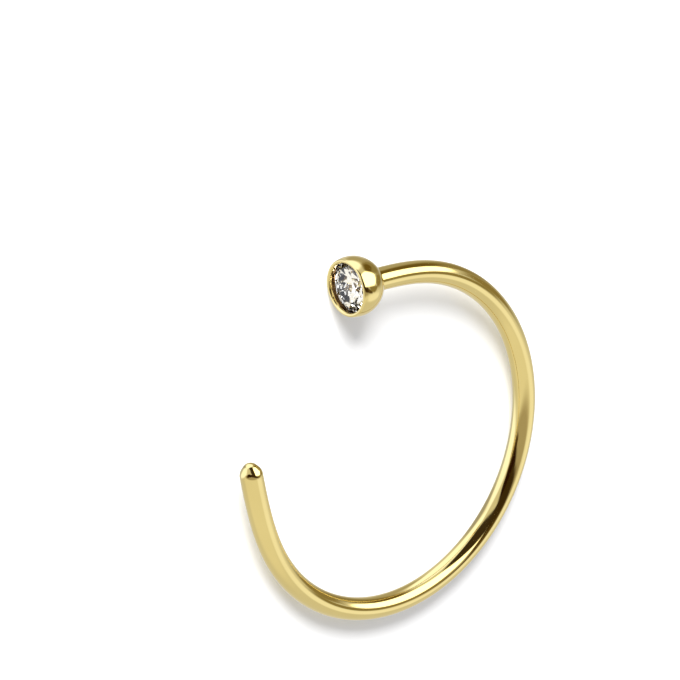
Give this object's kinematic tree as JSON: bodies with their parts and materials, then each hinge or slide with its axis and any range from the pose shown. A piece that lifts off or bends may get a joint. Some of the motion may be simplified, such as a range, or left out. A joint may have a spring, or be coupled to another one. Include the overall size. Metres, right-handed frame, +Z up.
{
  "type": "nose ring",
  "caption": "Open nose hoop of round gold-coloured wire with a rounded free end, and a ball-shaped cup at its other end that holds a clear round brilliant.",
  "frame": {"origin": "middle of the box's base, on the surface that the ring lies on", "axes": "+Z up, the ring lying on its side; the cup faces -X at the back left, the wire bends round by +X and -Y, and its free end points +Y at the left"},
  "size_m": [0.0132, 0.0134, 0.0021],
  "materials": {
    "gold": "polished yellow gold colour",
    "crystal": "clear, polished facets"
  },
  "bodies": {
    "root": {"hoop": "gold", "stone": "crystal"}
  },
  "joints": []
}
